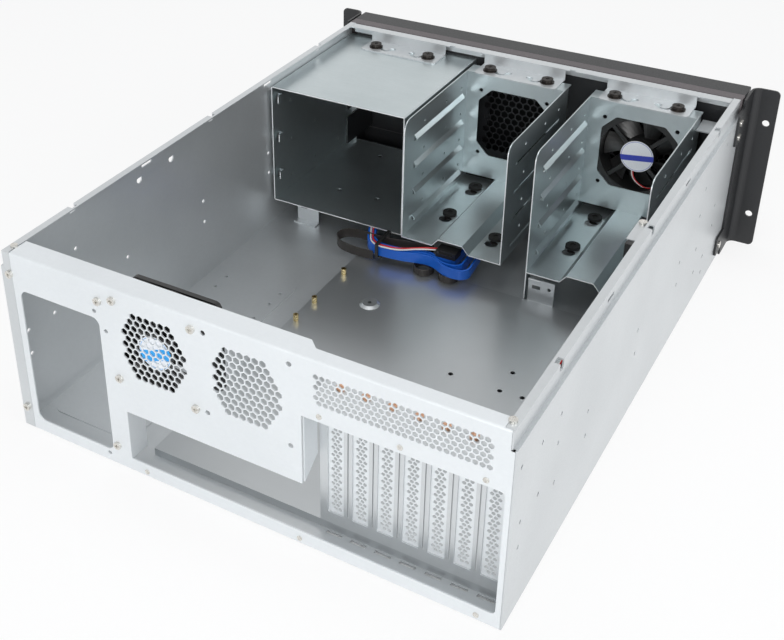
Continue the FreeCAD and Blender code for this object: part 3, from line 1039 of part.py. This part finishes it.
def small_parts():
    clips = (("under_clip_centre", "179.5", "rear - 405", "bay_low - 0.5"),
             ("under_clip_side", "0 - 93", "rear - 381", "27"))
    for label, x, y, top in clips:
        plate = box(label + "_plate", (x + " - 13", x + " + 13"), (y, y + " + 1"), ("steel", top))
        base = box(label + "_base", (x + " - 13", x + " + 13"), (y, y + " + 9"), ("steel", "2 * steel"))
        hem = rod(label + "_hem", "x", "1.5", "12", x + " + 1", y + " + 0.5", top + " - 1.5")
        slot = box(label + "_slot", (x + " + 1", x + " + 9"), (y + " - 1", y + " + 2"), ("16", "20"))
        hole = rod(label + "_hole", "y", "1.8", "3", x + " - 8", y + " - 1", "19")
        part(cut(label + "_cut", fuse(label + "_body", [plate, base, hem]), [slot, hole]), label)
    lever = [box("guard_strip", ("0 - 205", "0 - 195"), ("rear - 301", "rear - 268"), ("163", "164")),
             box("guard_stem", ("0 - band + steel", "0 - 204"), ("rear - 292", "rear - 272"), ("163", "164")),
             box("guard_leg", ("0 - band + steel", "0 - band + steel + 1"), ("rear - 292", "rear - 272"),
                 ("158", "163.5"))]
    hole = rod("guard_hole", "z", "1.7", "5", "0 - 199.5", "rear - 296.5", "161")
    part(cut("guard_cut", fuse("guard_body", lever), [hole]), "lid_switch_bracket")
    part(box("guard_block", ("0 - 204", "0 - 196"), ("rear - 280", "rear - 262"), ("150", "162.9")), "lid_switch")
    screw = [rod("guard_head", "z", "3.4", "2.2", "0 - 199.5", "rear - 296.5", "164"),
             rod("guard_shank", "z", "1.6", "7", "0 - 199.5", "rear - 296.5", "158")]
    part(fuse("guard_screw", screw), "lid_switch_screw")
    along = ("body_front + 16", "body_front + 42")
    bracket = [box("corner_top", ("0 - inside + 8", "0 - inside + 30"), along, ("150", "151.2")),
               box("corner_leg", ("0 - inside", "0 - inside + 8.5"), along, ("150", "151.2")),
               box("corner_wall", ("0 - inside", "0 - inside + 1.2"), along, ("140", "151.2"))]
    part(fuse("corner_body", bracket), "corner_bracket")


def rear_screws():
    """Pan-head screws on the rear panel and the rear strip, and the two at its top corners."""
    places = [("118", "156.5"), ("114", "19.6")] + STRIP_SCREWS
    half = "fan_holes / 2"
    places += [("fan_x %s %s" % (sx, half), "rear_fan_height %s %s" % (sz, half)) for sx in "+-" for sz in "+-"]
    screws = []
    for k, (x, z) in enumerate(places):
        head = rod("rear_head_%d" % k, "y", "screw_head", "screw_proud", x, "rear", z)
        shank = rod("rear_shank_%d" % k, "y", "1.7", "6", x, "rear - 5.5", z)
        deep = ("rear + screw_proud - 1", "rear + 9")
        cross = [box("rear_cross_%d_%d" % (k, n), (x + " - " + a, x + " + " + a), deep,
                     (z + " - " + b, z + " + " + b)) for n, (a, b) in enumerate((("1.8", "0.4"), ("0.4", "1.8")))]
        screws.append(cut("rear_screw_%d" % k, fuse("rear_screw_body_%d" % k, [head, shank]),
                          [fuse("rear_cross_both_%d" % k, cross)]))
    for k, x in enumerate(("flange_edge + 1.6", "0 - flange_edge - 1.6")):
        screws.append(rod("top_screw_%d" % k, "z", "3", "1.6", x, "rear - 9.3", "body_height"))
    part(group("rear_screw_group", screws), "rear_screws")


def rivets():
    """Blind rivets along the rear panel's bottom strip and above the slots."""
    places = [("86", "4.4"), ("0 - 55", "4.4"), ("0 - 196", "4.4"), ("0 - 72.8", "126"), ("0 - 134.7", "126"),
              ("0 - 196", "126")]
    heads = [rod("rivet_%d" % k, "y", "rivet_radius", "rivet_proud", x, "rear", z) for k, (x, z) in enumerate(places)]
    part(group("rivet_group", heads), "rear_rivets")


tub()
rear_panel()
slot_frame()
for index, place in enumerate(slot_places()):
    slot_cover(index, place)
cover_screws()
tray()
drive_cage("drive_cage_centre", "centre_cage_left")
drive_cage("drive_cage_side", "side_cage_left", ("rear - cage_rear - 12", "rear - fan_wall"))
bay_cage()
fan("rear_fan", "fan_x", "rear_fan_height", "panel_inner - 0.1", 0, "rear_fan_depth")
fan("front_fan", "side_cage_left - drive_cage_width / 2", "fan_centre", "rear - fan_wall - cage_sheet - 0.1", 20,
    "fan_depth")
beam()
front_wall()
bezel()
controls()
ear("left")
ear("right")
ear_screws()
cables()
small_parts()
rear_screws()
rivets()

doc.recompute()
for obj in doc.Objects:
    if "Invalid" in obj.State or "Error" in obj.State:
        raise RuntimeError("%s (%s) is %s" % (obj.Name, obj.Label, obj.State))
for obj in PARTS:
    if obj.Shape.isNull() or not obj.Shape.isValid() or not obj.Shape.Solids:
        raise RuntimeError("%s has no valid shape" % obj.Label)
os.makedirs("parts", exist_ok=True)
for obj in PARTS:
    obj.Shape.exportStep("parts/%s.step" % obj.Label)
    print("%-28s %2d solids  %10.0f mm3" % (obj.Label, len(obj.Shape.Solids), obj.Shape.Volume))
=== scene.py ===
import math

import bmesh
import bpy
from mathutils import Matrix, Vector

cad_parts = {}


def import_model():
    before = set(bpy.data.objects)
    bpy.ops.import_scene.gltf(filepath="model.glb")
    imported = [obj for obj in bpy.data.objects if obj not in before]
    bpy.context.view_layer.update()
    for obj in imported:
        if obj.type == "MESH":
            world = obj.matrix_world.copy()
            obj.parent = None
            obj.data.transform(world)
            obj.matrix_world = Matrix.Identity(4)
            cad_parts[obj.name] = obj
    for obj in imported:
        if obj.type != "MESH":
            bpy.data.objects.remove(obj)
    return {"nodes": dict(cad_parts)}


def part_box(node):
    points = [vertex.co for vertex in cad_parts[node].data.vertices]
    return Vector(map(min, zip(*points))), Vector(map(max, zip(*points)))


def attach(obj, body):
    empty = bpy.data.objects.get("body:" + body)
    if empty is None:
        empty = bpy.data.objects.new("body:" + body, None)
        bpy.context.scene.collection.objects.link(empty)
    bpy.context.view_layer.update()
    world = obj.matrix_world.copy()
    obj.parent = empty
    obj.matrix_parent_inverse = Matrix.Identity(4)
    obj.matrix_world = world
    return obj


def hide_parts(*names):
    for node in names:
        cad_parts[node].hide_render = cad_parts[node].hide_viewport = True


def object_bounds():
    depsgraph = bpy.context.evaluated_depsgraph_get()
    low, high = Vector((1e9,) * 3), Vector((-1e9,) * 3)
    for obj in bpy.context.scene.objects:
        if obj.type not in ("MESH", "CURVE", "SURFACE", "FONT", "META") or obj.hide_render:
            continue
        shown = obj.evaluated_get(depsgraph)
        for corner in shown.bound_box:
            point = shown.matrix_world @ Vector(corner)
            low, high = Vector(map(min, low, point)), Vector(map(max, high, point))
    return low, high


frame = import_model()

nodes = frame["nodes"]
cad_low, cad_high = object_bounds()
scene = bpy.context.scene
MM = 0.001


# ---------------------------------------------------------------- camera

CAMERA_PLACE = (-0.40493, 0.85121, 0.66077)
CAMERA_ANGLES = (212.055, 29.071, -1.203)    # turn, rise and roll in degrees
CAMERA_SHIFT = (0.1237, -0.1620)
LENS_MM = 55.51


def camera():
    turn, rise, roll = (math.radians(a) for a in CAMERA_ANGLES)
    back = Vector((math.sin(turn) * math.cos(rise), -math.cos(turn) * math.cos(rise), math.sin(rise)))
    side = (-back).cross(Vector((0, 0, 1))).normalized()
    up = side.cross(-back)
    right = math.cos(roll) * side + math.sin(roll) * up
    top = math.cos(roll) * up - math.sin(roll) * side
    data = bpy.data.cameras.new("camera")
    data.sensor_width = 36
    data.lens = LENS_MM
    data.shift_x, data.shift_y = CAMERA_SHIFT
    data.clip_start = 0.05
    cam = bpy.data.objects.new("camera", data)
    facing = Matrix((right, top, back)).transposed().to_4x4()
    cam.matrix_world = Matrix.Translation(CAMERA_PLACE) @ facing
    scene.collection.objects.link(cam)
    scene.camera = cam


camera()


# ---------------------------------------------------------------- node helpers

class Nodes:
    """A small wrapper for building a material's node tree."""

    def __init__(self, name):
        self.material = bpy.data.materials.new(name)
        self.material.use_nodes = True
        self.tree = self.material.node_tree
        self.shader = self.tree.nodes["Principled BSDF"]
        self.coords = self.tree.nodes.new("ShaderNodeTexCoord").outputs["Object"]

    def add(self, kind, **settings):
        node = self.tree.nodes.new(kind)
        for key, value in settings.items():
            setattr(node, key, value)
        return node

    def link(self, source, target):
        self.tree.links.new(source, target)

    def set(self, **values):
        for key, value in values.items():
            self.shader.inputs[key.replace("_", " ")].default_value = value

    def scaled(self, scale):
        mapping = self.add("ShaderNodeMapping")
        mapping.inputs["Scale"].default_value = scale
        self.link(self.coords, mapping.inputs["Vector"])
        return mapping.outputs["Vector"]

    def noise(self, scale, detail, vector=None):
        node = self.add("ShaderNodeTexNoise")
        node.inputs["Scale"].default_value = scale
        node.inputs["Detail"].default_value = detail
        self.link(vector or self.coords, node.inputs["Vector"])
        return node.outputs["Fac"]

    def cells(self, scale):
        node = self.add("ShaderNodeTexVoronoi")
        node.inputs["Scale"].default_value = scale
        self.link(self.coords, node.inputs["Vector"])
        return node.outputs["Color"]

    def ramp(self, source, low, high, start=0.3, end=0.7):
        node = self.add("ShaderNodeMapRange")
        node.inputs["From Min"].default_value = start
        node.inputs["From Max"].default_value = end
        node.inputs["To Min"].default_value = low
        node.inputs["To Max"].default_value = high
        self.link(source, node.inputs["Value"])
        return node.outputs["Result"]

    def mix(self, factor, a, b):
        node = self.add("ShaderNodeMix", data_type="RGBA")
        for socket, value in ((node.inputs["Factor"], factor), (node.inputs["A"], a), (node.inputs["B"], b)):
            if isinstance(value, (tuple, float, int)):
                socket.default_value = value
            else:
                self.link(value, socket)
        return node.outputs["Result"]

    def maths(self, operation, a, b=0.0):
        node = self.add("ShaderNodeMath", operation=operation)
        for socket, value in zip(node.inputs, (a, b)):
            if isinstance(value, (float, int)):
                socket.default_value = value
            else:
                self.link(value, socket)
        return node.outputs["Value"]

    def parts(self, vector):
        node = self.add("ShaderNodeSeparateXYZ")
        self.link(vector, node.inputs["Vector"])
        return node.outputs

    def bump(self, height, strength, distance):
        node = self.add("ShaderNodeBump")
        node.inputs["Strength"].default_value = strength
        node.inputs["Distance"].default_value = distance
        self.link(height, node.inputs["Height"])
        self.link(node.outputs["Normal"], self.shader.inputs["Normal"])


def tint(r, g=None, b=None):
    """A colour with full alpha; one number gives a neutral grey."""
    return (r, r if g is None else g, r if b is None else b, 1)


def zinc(name, light, dark, metallic, low, high, highlight_edges=None, crystals=0.10):
    """Zinc-plated sheet: cloudy tone, faint crystal grain and fine rolling lines.

    low and high are the roughness across the rolling lines. highlight_edges is an axis and a depth: faces that
    look along the axis, past that depth, are cut edges given a painted highlight, a near-white, less metallic
    tone for the light they catch.
    """
    n = Nodes(name)
    cloud = n.noise(9, 4)
    grain = n.cells(340)
    streak = n.noise(60, 2, n.scaled((1, 14, 14)))
    tone = n.mix(n.ramp(cloud, 0.0, 1.0, 0.32, 0.68), dark, light)
    grains = n.add("ShaderNodeRGBToBW")
    n.link(grain, grains.inputs["Color"])
    speck = n.ramp(grains.outputs["Val"], 0.0, crystals, 0.0, 1.0)
    tone = n.mix(speck, tone, tint(*(0.8 * c for c in dark[:3])))
    if highlight_edges:
        axis, depth = highlight_edges
        facing = n.parts(n.add("ShaderNodeNewGeometry").outputs["Normal"])[axis]
        place = n.parts(n.coords)[axis]
        # painted highlight: cut edges facing along the axis are coloured near-white, standing in for the light
        # they catch
        painted_edge_highlight = n.maths("MULTIPLY", n.maths("GREATER_THAN", facing, 0.9),
                       n.maths("GREATER_THAN", place, depth))
        tone = n.mix(painted_edge_highlight, tone, tint(0.93, 0.95, 0.96))
        n.link(n.ramp(painted_edge_highlight, metallic, 0.35, 0.0, 1.0), n.shader.inputs["Metallic"])
    else:
        n.set(Metallic=metallic)
    n.link(tone, n.shader.inputs["Base Color"])
    n.link(n.ramp(streak, low, high, 0.3, 0.7), n.shader.inputs["Roughness"])
    n.bump(n.noise(700, 2), 0.03, 0.00005)
    return n.material


def coat(name, colour, rough=0.45, grain=900, strength=0.25, specular=0.5):
    """Powder coat or moulded plastic with a fine orange-peel grain."""
    n = Nodes(name)
    fine = n.noise(grain, 2)
    cloud = n.noise(14, 3)
    worn = tint(*(0.82 * c for c in colour[:3]))
    n.link(n.mix(n.ramp(cloud, 0.0, 1.0), worn, colour), n.shader.inputs["Base Color"])
    n.link(n.ramp(fine, rough - 0.06, rough + 0.08), n.shader.inputs["Roughness"])
    n.set(Specular_IOR_Level=specular)
    n.bump(fine, strength, 0.0001)
    return n.material


def plated(name, light, dark, rough=0.25):
    """Small plated hardware."""
    n = Nodes(name)
    cloud = n.noise(500, 3)
    n.link(n.mix(n.ramp(cloud, 0.0, 1.0), dark, light), n.shader.inputs["Base Color"])
    n.link(n.ramp(n.noise(900, 2), rough - 0.06, rough + 0.12), n.shader.inputs["Roughness"])
    n.set(Metallic=1.0)
    return n.material


ZINC = zinc("zinc_sheet", tint(0.66, 0.685, 0.70), tint(0.60, 0.625, 0.64), 0.68, 0.3, 0.42)
# TRAY and CAGE carry the painted highlight on their cut edges
TRAY = zinc("tray_sheet", tint(0.57, 0.595, 0.61), tint(0.53, 0.555, 0.57), 0.88, 0.30, 0.34,
            highlight_edges=("X", 0.195), crystals=0.02)
# same zinc-plated steel as zinc_sheet; its paler tone is painted light for the rear faces that the key lamp
# lights
PANEL_PAINTED_LIGHT = zinc("panel_sheet_painted_light", tint(0.78, 0.81, 0.83), tint(0.74, 0.77, 0.79), 0.35, 0.42, 0.54)
CAGE = zinc("cage_sheet", tint(0.60, 0.66, 0.675), tint(0.52, 0.58, 0.595), 0.9, 0.28, 0.4,
            highlight_edges=("Y", -0.095))
BLACK = coat("black_powder_coat", tint(0.017, 0.018, 0.020), 0.42)
# the bezel's own paint is near-black; raising its base to dark grey is painted sheen for the light its top
# reflects
TRIM_PAINTED_SHEEN = coat("bezel_paint_painted_sheen", tint(0.125, 0.110, 0.115), 0.5, 700, 0.2)
PLASTIC = coat("black_plastic", tint(0.018), 0.35, 1400, 0.15)
RUBBER = coat("rubber", tint(0.012), 0.6, 1200, 0.3, 0.3)
SCREW = plated("zinc_hardware", tint(0.80, 0.79, 0.75), tint(0.6, 0.58, 0.54))
COPPER = plated("copper_hardware", tint(0.78, 0.48, 0.33), tint(0.5, 0.28, 0.18))
BRASS = plated("brass_hardware", tint(0.80, 0.66, 0.36), tint(0.6, 0.46, 0.22))
OXIDE = plated("black_hardware", tint(0.07, 0.06, 0.055), tint(0.03, 0.028, 0.026), 0.38)
GREEN = coat("circuit_board", tint(0.02, 0.12, 0.06), 0.35, 700, 0.1)
LENS = coat("lamp_lens", tint(0.7, 0.72, 0.7), 0.2, 600, 0.05)
FOAM = coat("filter_foam", tint(0.006, 0.007, 0.007), 0.9, 500, 0.9, 0.1)
BLUE = coat("blue_jacket", tint(0.012, 0.13, 0.62), 0.36, 500, 0.12)
RED = coat("red_jacket", tint(0.62, 0.02, 0.025), 0.38, 900, 0.1)
WHITE = coat("white_jacket", tint(0.80, 0.80, 0.78), 0.4, 900, 0.1)
DARK = coat("dark_jacket", tint(0.030, 0.026, 0.023), 0.42, 900, 0.15)


def dress():
    """Gives each CAD node its material."""
    kinds = {
        ZINC: ["chassis_tub", "slot_frame", "under_clip_centre", "under_clip_side", "corner_bracket",
               "lid_switch_bracket", "front_top_beam"],
        TRAY: ["motherboard_tray"],
        PANEL_PAINTED_LIGHT: ["rear_panel"] + ["slot_cover_%d" % k for k in range(1, 8)],
        CAGE: ["drive_cage_centre", "drive_cage_side", "bay_cage"],
        TRIM_PAINTED_SHEEN: ["bezel_frame"],
        BLACK: ["front_fascia", "rack_ear_left", "rack_ear_right", "front_wall", "intake_mesh",
                "bay_cover_1", "bay_cover_2", "bay_cover_3"],
        PLASTIC: ["rear_fan_frame", "rear_fan_rotor", "front_fan_frame", "front_fan_rotor", "power_button",
                  "reset_button", "lid_switch", "switch_board", "panel_plug", "front_fan_plug", "cable_tie"],
        FOAM: ["intake_filter"],
        BLUE: ["blue_cables"],
        RED: ["panel_lead_red"],
        WHITE: ["panel_lead_white"],
        DARK: ["lead_coils", "front_fan_lead"],
        RUBBER: ["drive_cage_centre_grommets", "drive_cage_side_grommets"],
        SCREW: ["rear_screws", "rear_rivets", "ear_screws", "lid_switch_screw", "front_ports"],
        COPPER: ["slot_cover_screws"],
        BRASS: ["board_standoffs"],
        OXIDE: ["bay_thumbscrews", "centre_thumbscrews", "side_thumbscrews"],
        GREEN: ["front_io_board"],
        LENS: ["indicator_lamps"],
    }
    for material, names in kinds.items():
        for name in names:
            mesh = nodes[name].data
            mesh.materials.clear()
            mesh.materials.append(material)


dress()


# ---------------------------------------------------------------- fan lead

LEAD_ROUTE = [(-150, -241, 66), (-150, -243, 24), (-153, -205, 9), (-162, -160, 7), (-145.5, -114, 5),
              (-152, -78, 13), (-139.5, -48, 10.6), (-147, -16, 10), (-147, 16, 10)]


def nurbs(name, points, radius=0.0, extrude=0.0):
    """A smooth line through space with the given control points, in millimetres."""
    data = bpy.data.curves.new(name, "CURVE")
    data.dimensions = "3D"
    data.resolution_u = 24
    data.bevel_depth = radius * MM
    data.bevel_resolution = 4
    data.extrude = extrude * MM
    data.use_fill_caps = True
    data.twist_mode = "Z_UP"
    spline = data.splines.new("NURBS")
    spline.points.add(len(points) - 1)
    for point, (x, y, z) in zip(spline.points, points):
        point.co = (x * MM, y * MM, z * MM, 1)
    spline.order_u = 3
    spline.use_endpoint_u = True
    piece = bpy.data.objects.new(name, data)
    scene.collection.objects.link(piece)
    return piece


def line_points(piece):
    """Points along the line of a curve that has no bevel, read from Blender's evaluation of it."""
    mesh = bpy.data.meshes.new_from_object(piece)
    points = [vertex.co.copy() for vertex in mesh.vertices]
    bpy.data.meshes.remove(mesh)
    return points


def fan_lead():
    """Three thin wires, red, black and white, twisted slowly round each other."""
    guide = nurbs("lead_guide", LEAD_ROUTE)
    path = line_points(guide)
    bpy.data.objects.remove(guide)
    mesh = bpy.data.meshes.new("front_fan_wires")
    build = bmesh.new()
    wire, apart, sides, pitch = 0.62 * MM, 0.68 * MM, 8, 0.045
    steady = Vector((0.31, 0.2, 0.93))
    for strand in range(3):
        rings = []
        gone = 0.0
        for index, point in enumerate(path):
            before = path[max(index - 1, 0)]
            after = path[min(index + 1, len(path) - 1)]
            if index:
                gone += (point - before).length
            ahead = (after - before).normalized()
            side = ahead.cross(steady).normalized()
            over = side.cross(ahead)
            angle = 2 * math.pi * (gone / pitch + strand / 3)
            middle = point + apart * (math.cos(angle) * side + math.sin(angle) * over)
            rings.append([build.verts.new(middle + wire * (math.cos(a) * side + math.sin(a) * over))
                          for a in (2 * math.pi * k / sides for k in range(sides))])
        for near, far in zip(rings, rings[1:]):
            for k in range(sides):
                face = build.faces.new((near[k], near[(k + 1) % sides], far[(k + 1) % sides], far[k]))
                face.material_index = strand
                face.smooth = True
        for ring in (rings[0][::-1], rings[-1]):
            build.faces.new(ring).material_index = strand
    build.normal_update()
    build.to_mesh(mesh)
    build.free()
    for material in (RED, DARK, WHITE):
        mesh.materials.append(material)
    piece = bpy.data.objects.new("front_fan_wires", mesh)
    scene.collection.objects.link(piece)
    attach(piece, "case")
    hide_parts("front_fan_lead")


fan_lead()


# ---------------------------------------------------------------- small pieces

def held(piece, material):
    """Gives a piece of the case its material and parents it to the case's body."""
    piece.data.materials.append(material)
    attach(piece, "case")


RING_HALF_WIDTH = 0.00035
LABEL_SIDES = 64
HUB_RECESS_MM = 0.19


def paper(name, band, low, high, ring):
    """Printed paper: white with one plain band from low to high across it and a thin ring near its edge."""
    n = Nodes(name)
    spots = n.parts(n.coords)
    inside = n.maths("MULTIPLY", n.maths("GREATER_THAN", spots["Z"], low),
                     n.maths("LESS_THAN", spots["Z"], high))
    length = n.add("ShaderNodeVectorMath", operation="LENGTH")
    n.link(n.coords, length.inputs[0])
    off = n.maths("ABSOLUTE", n.maths("SUBTRACT", length.outputs["Value"], ring))
    line = n.maths("MULTIPLY", n.maths("LESS_THAN", off, RING_HALF_WIDTH), 0.6)
    fibre = n.ramp(n.noise(900, 3), 0.0, 1.0)
    white = n.mix(fibre, tint(0.74, 0.76, 0.80), tint(0.82, 0.84, 0.87))
    printed = n.mix(n.maths("MAXIMUM", inside, line), white, band)
    n.link(printed, n.shader.inputs["Base Color"])
    n.link(n.ramp(fibre, 0.3, 0.42, 0.0, 1.0), n.shader.inputs["Roughness"])
    n.bump(n.noise(900, 3), 0.05, 0.00005)
    return n.material


def label(name, centre, radius, material, tilt):
    """A round label on a fan's hub, slightly domed, with a rolled edge."""
    mesh = bpy.data.meshes.new(name)
    build = bmesh.new()
    profile = ((radius, 0.0), (radius, 0.07), (radius - 0.12, 0.12),
               (radius * 0.6, 0.135), (radius * 0.25, 0.14))
    turns = [2 * math.pi * k / LABEL_SIDES for k in range(LABEL_SIDES)]
    rings = [[build.verts.new((r * MM * math.cos(a), y * MM, r * MM * math.sin(a))) for a in turns]
             for r, y in profile]
    for near, far in zip(rings, rings[1:]):
        for k in range(LABEL_SIDES):
            after = (k + 1) % LABEL_SIDES
            build.faces.new((near[k], far[k], far[after], near[after]))
    build.faces.new(rings[-1][::-1])
    build.faces.new(rings[0])
    bmesh.ops.recalc_face_normals(build, faces=build.faces)
    build.to_mesh(mesh)
    build.free()
    piece = bpy.data.objects.new(name, mesh)
    piece.location = tuple(MM * c for c in centre)
    piece.rotation_euler = (0, math.radians(tilt), 0)
    scene.collection.objects.link(piece)
    held(piece, material)


def hub_centre(node):
    """Centre of a fan's hub on the side that faces the rear, in millimetres."""
    low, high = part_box(node)
    return (low[0] + high[0]) / 2 / MM, high[1] / MM - HUB_RECESS_MM, (low[2] + high[2]) / 2 / MM


def labels():
    front = paper("front_label", tint(0.035, 0.055, 0.42), -0.0048, 0.0012, 0.0155)
    rear = paper("rear_label", tint(0.02, 0.36, 0.80), -0.0065, 0.0032, 0.0135)
    label("front_fan_label", hub_centre("front_fan_frame"), 16.6, front, 8)
    label("rear_fan_label", hub_centre("rear_fan_frame"), 14.6, rear, 20)


def hub_wires():
    """The fan's own wires, from the hub along a strut to the edge of the duct."""
    x, y, z = hub_centre("front_fan_frame")
    strut = ((3.5, -0.9, 14.5), (3.2, 0.3, 19), (0.5, 0.5, 25),
             (-5, -0.4, 30), (-11, -2.2, 33.5), (-15, -6, 34.2))
    for k, (colour, material) in enumerate((("red", RED), ("white", WHITE), ("dark", DARK))):
        shift = 1.25 * (k - 1)
        run = [(x + shift + across, y + out, z - down) for across, out, down in strut]
        held(nurbs("hub_wire_" + colour, run, 0.55), material)


def flat_lead():
    """Dark flat lead that turns back on itself, lower down, beside the data cables."""
    run = [(22, -88.5, 24), (50, -82, 24.5), (72, -77.5, 24.4), (102, -81, 23.5), (118, -78, 21.5),
           (123, -70, 18.5), (116, -63.5, 15.6), (102, -61.8, 14.6), (88, -62, 14.3), (77, -63.2, 14.3)]
    held(nurbs("flat_dark_lead", run, 0.35, 4.9), DARK)


labels()
hub_wires()
flat_lead()


# ---------------------------------------------------------------- floor and light

# the footprint below is a painted shadow: inside it the floor doesn't glow, so it shows the shade under the
# case
FLOOR_GLOW = 0.82
FOOTPRINT_X = 0.87     # share of the case's half width and half depth under which the floor doesn't glow
FOOTPRINT_Y = 0.97


def floor():
    """Pale floor that the camera and reflections see as nearly white, with a painted shadow footprint under
    the object, where the glow is off and the floor shows its lamp-lit shade.
    """
    mesh = bpy.data.meshes.new("floor")
    build = bmesh.new()
    bmesh.ops.create_grid(build, x_segments=1, y_segments=1, size=6)
    build.to_mesh(mesh)
    build.free()
    plane = bpy.data.objects.new("floor", mesh)
    plane.location = (0, 0, -0.0006)
    scene.collection.objects.link(plane)
    n = Nodes("floor_paint")
    n.set(Base_Color=tint(0.9), Roughness=0.9, Specular_IOR_Level=0.0)
    path = n.add("ShaderNodeLightPath").outputs
    white = n.add("ShaderNodeEmission")
    white.inputs["Color"].default_value = tint(1.0)
    seen = n.maths("MAXIMUM", n.maths("MAXIMUM", path["Is Camera Ray"], path["Is Glossy Ray"]),
                   path["Is Transmission Ray"])
    spot = n.parts(n.coords)
    # painted shadow footprint: glow only outside the rectangle under the case
    clear = n.maths(
        "MAXIMUM",
        n.maths("GREATER_THAN", n.maths("ABSOLUTE", spot["X"]), cad_high[0] * FOOTPRINT_X),
        n.maths("GREATER_THAN", n.maths("ABSOLUTE", spot["Y"]), cad_high[1] * FOOTPRINT_Y))
    fade = n.add("ShaderNodeMixShader")
    n.link(n.maths("MULTIPLY", n.maths("MULTIPLY", seen, clear), FLOOR_GLOW), fade.inputs["Fac"])
    n.link(n.shader.outputs["BSDF"], fade.inputs[1])
    n.link(white.outputs["Emission"], fade.inputs[2])
    n.link(fade.outputs["Shader"], n.tree.nodes["Material Output"].inputs["Surface"])
    mesh.materials.append(n.material)


def lamp(name, place, target, size, power):
    """Rectangular lamp at a place, turned to its target."""
    data = bpy.data.lights.new(name, "AREA")
    data.shape = "RECTANGLE"
    data.size, data.size_y = size
    data.energy = power
    light = bpy.data.objects.new(name, data)
    light.location = place
    light.rotation_euler = (Vector(target) - Vector(place)).to_track_quat("-Z", "Y").to_euler()
    scene.collection.objects.link(light)


def world():
    """Soft daylight for the lighting, and a white backdrop, falling to grey overhead, for what reflects it."""
    sky = bpy.data.worlds.new("studio")
    scene.world = sky
    sky.use_nodes = True
    tree = sky.node_tree

    def add(kind, **inputs):
        node = tree.nodes.new(kind)
        for key, value in inputs.items():
            node.inputs[key.replace("_", " ")].default_value = value
        return node

    soft = tree.nodes["Background"]
    soft.inputs["Color"].default_value = (0.93, 0.965, 1.0, 1)
    soft.inputs["Strength"].default_value = 0.43
    height = add("ShaderNodeSeparateXYZ")
    tree.links.new(add("ShaderNodeTexCoord").outputs["Generated"], height.inputs["Vector"])
    fall = add("ShaderNodeMapRange", From_Min=0.45, From_Max=0.92, To_Min=1.0, To_Max=0.25)
    tree.links.new(height.outputs["Z"], fall.inputs["Value"])
    white = add("ShaderNodeBackground", Color=(1, 1, 1, 1))
    tree.links.new(fall.outputs["Result"], white.inputs["Strength"])
    path = add("ShaderNodeLightPath").outputs
    seen = path["Is Camera Ray"]
    for name in ("Is Glossy Ray", "Is Transmission Ray"):
        either = add("ShaderNodeMath")
        either.operation = "MAXIMUM"
        tree.links.new(seen, either.inputs[0])
        tree.links.new(path[name], either.inputs[1])
        seen = either.outputs["Value"]
    mix = add("ShaderNodeMixShader")
    tree.links.new(seen, mix.inputs["Fac"])
    tree.links.new(soft.outputs["Background"], mix.inputs[1])
    tree.links.new(white.outputs["Background"], mix.inputs[2])
    tree.links.new(mix.outputs["Shader"], tree.nodes["World Output"].inputs["Surface"])


floor()
world()
lamp("key", (-0.7, 2.2, 1.0), (0, 0.1, 0.05), (1.6, 1.0), 29)
lamp("top", (0.2, -0.1, 1.9), (0, 0, 0), (1.6, 1.6), 12)
lamp("side", (-2.0, 0.3, 0.9), (-0.2, 0, 0.1), (1.2, 1.2), 13)

scene.view_settings.view_transform = "Standard"
